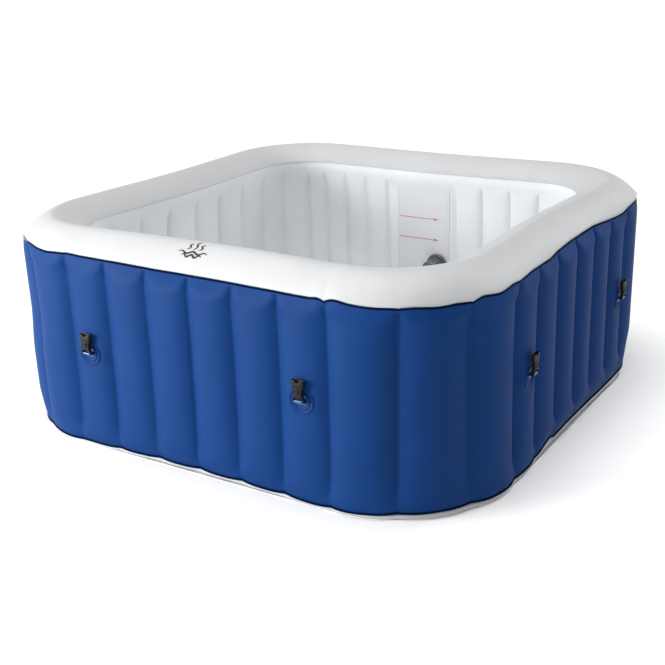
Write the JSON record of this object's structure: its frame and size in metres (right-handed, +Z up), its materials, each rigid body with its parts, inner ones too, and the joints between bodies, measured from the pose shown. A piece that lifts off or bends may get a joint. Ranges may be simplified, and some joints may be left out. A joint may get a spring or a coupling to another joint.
{
  "type": "inflatable hot tub",
  "caption": "Square inflatable hot tub with a channelled blue outer wall, padded white rim, pale inner basin, cover buckles, filter, drain and hose ports.",
  "frame": {"origin": "centre of the footprint, on the floor", "axes": "+Z up; -Y is the front wall, whose rim carries the emblem; +Y is the back wall with the hose ports, air valve and drain; +X is to the right seen from the front"},
  "size_m": [1.598, 1.619, 0.632],
  "materials": {
    "white_vinyl": "satin coated PVC",
    "blue_vinyl": "satin coated PVC with a fine leather grain",
    "grey_vinyl": "satin coated PVC",
    "clear_vinyl": "clear PVC film",
    "web_vinyl": "mesh reinforced PVC",
    "red_print": "screen print",
    "grey_plastic": "moulded, fine texture",
    "filter_paper": "pleated polyester",
    "seal_rubber": "matt",
    "white_hose": "flexible PVC",
    "port_plastic": "moulded, fine texture",
    "spring_steel": "drawn wire",
    "black_plastic": "satin moulded acetal"
  },
  "bodies": {
    "tub": {"base_sheet": "white_vinyl", "foot_strip": "white_vinyl", "foot_welt": "blue_vinyl", "outer_wall": "blue_vinyl", "rim_welt": "clear_vinyl", "top_band": "white_vinyl", "inner_welt": "white_vinyl", "inner_wall": "grey_vinyl", "front_webs": "web_vinyl", "side_webs": "web_vinyl", "back_webs": "web_vinyl", "corner_webs": "web_vinyl", "level_panel": "grey_vinyl", "level_lines": "red_print", "bubble_ring": "grey_vinyl", "suction_fitting": "grey_plastic", "filter_cartridge": "filter_paper", "return_fitting": "grey_plastic", "return_grille": "grey_plastic", "inner_gaskets": "seal_rubber", "suction_pipe": "white_hose", "return_pipe": "white_hose", "air_hose": "white_hose", "outer_gaskets": "seal_rubber", "suction_spigot": "port_plastic", "return_spigot": "port_plastic", "air_spigot": "port_plastic", "drain_outlet": "port_plastic", "drain_inlet": "grey_plastic", "drain_pipe": "white_hose", "valve_body": "grey_plastic", "valve_spring": "spring_steel", "buckle_patches": "blue_vinyl", "strap_tabs": "blue_vinyl"},
    "buckle_front_a": {"buckle_front_a": "black_plastic"},
    "buckle_front_b": {"buckle_front_b": "black_plastic"},
    "buckle_right_a": {"buckle_right_a": "black_plastic"},
    "buckle_right_b": {"buckle_right_b": "black_plastic"},
    "buckle_back_a": {"buckle_back_a": "black_plastic"},
    "buckle_back_b": {"buckle_back_b": "black_plastic"},
    "buckle_left_a": {"buckle_left_a": "black_plastic"},
    "buckle_left_b": {"buckle_left_b": "black_plastic"},
    "suction_cap": {"suction_cap": "grey_plastic"},
    "drain_cap": {"drain_cap": "port_plastic"},
    "drain_stopper": {"drain_stopper": "grey_plastic"},
    "valve_stem": {"valve_stem": "grey_plastic"},
    "valve_cap": {"valve_cap": "grey_plastic"}
  },
  "joints": [
    {"name": "buckle_front_a_tilt", "type": "hinge", "parent": "tub", "child": "buckle_front_a", "pos_m": [-0.354, -0.793, 0.299], "axis": [1, 0, 0], "range_deg": [-4, 100], "stiffness_Nm_per_rad": 0.03},
    {"name": "buckle_front_b_tilt", "type": "hinge", "parent": "tub", "child": "buckle_front_b", "pos_m": [0.354, -0.793, 0.299], "axis": [1, 0, 0], "range_deg": [-4, 100], "stiffness_Nm_per_rad": 0.03},
    {"name": "buckle_right_a_tilt", "type": "hinge", "parent": "tub", "child": "buckle_right_a", "pos_m": [0.793, -0.354, 0.299], "axis": [0, 1, 0], "range_deg": [-4, 100], "stiffness_Nm_per_rad": 0.03},
    {"name": "buckle_right_b_tilt", "type": "hinge", "parent": "tub", "child": "buckle_right_b", "pos_m": [0.793, 0.354, 0.299], "axis": [0, 1, 0], "range_deg": [-4, 100], "stiffness_Nm_per_rad": 0.03},
    {"name": "buckle_back_a_tilt", "type": "hinge", "parent": "tub", "child": "buckle_back_a", "pos_m": [0.354, 0.793, 0.299], "axis": [-1, 0, 0], "range_deg": [-4, 100], "stiffness_Nm_per_rad": 0.03},
    {"name": "buckle_back_b_tilt", "type": "hinge", "parent": "tub", "child": "buckle_back_b", "pos_m": [-0.354, 0.793, 0.299], "axis": [-1, 0, 0], "range_deg": [-4, 100], "stiffness_Nm_per_rad": 0.03},
    {"name": "buckle_left_a_tilt", "type": "hinge", "parent": "tub", "child": "buckle_left_a", "pos_m": [-0.793, 0.354, 0.299], "axis": [0, -1, 0], "range_deg": [-4, 100], "stiffness_Nm_per_rad": 0.03},
    {"name": "buckle_left_b_tilt", "type": "hinge", "parent": "tub", "child": "buckle_left_b", "pos_m": [-0.793, -0.354, 0.299], "axis": [0, -1, 0], "range_deg": [-4, 100], "stiffness_Nm_per_rad": 0.03},
    {"name": "suction_cap_twist", "type": "hinge", "parent": "tub", "child": "suction_cap", "pos_m": [0.03, 0.55, 0.242], "axis": [0, 1, 0], "range_deg": [0, 60]},
    {"name": "drain_cap_turn", "type": "hinge", "parent": "tub", "child": "drain_cap", "pos_m": [-0.22, 0.79, 0.088], "axis": [0, -1, 0], "range_deg": [0, 300]},
    {"name": "drain_stopper_pull", "type": "slide", "parent": "tub", "child": "drain_stopper", "axis": [0, -1, 0], "range_m": [0, 0.03]},
    {"name": "valve_stem_press", "type": "slide", "parent": "tub", "child": "valve_stem", "axis": [0, -1, 0], "range_m": [0, 0.005], "stiffness_N_per_m": 400, "springref_m": -0.002, "deforming": ["valve_spring"]},
    {"name": "valve_cap_turn", "type": "hinge", "parent": "tub", "child": "valve_cap", "pos_m": [0.152, 0.785, 0.44], "axis": [0, -1, 0], "range_deg": [0, 300]}
  ]
}
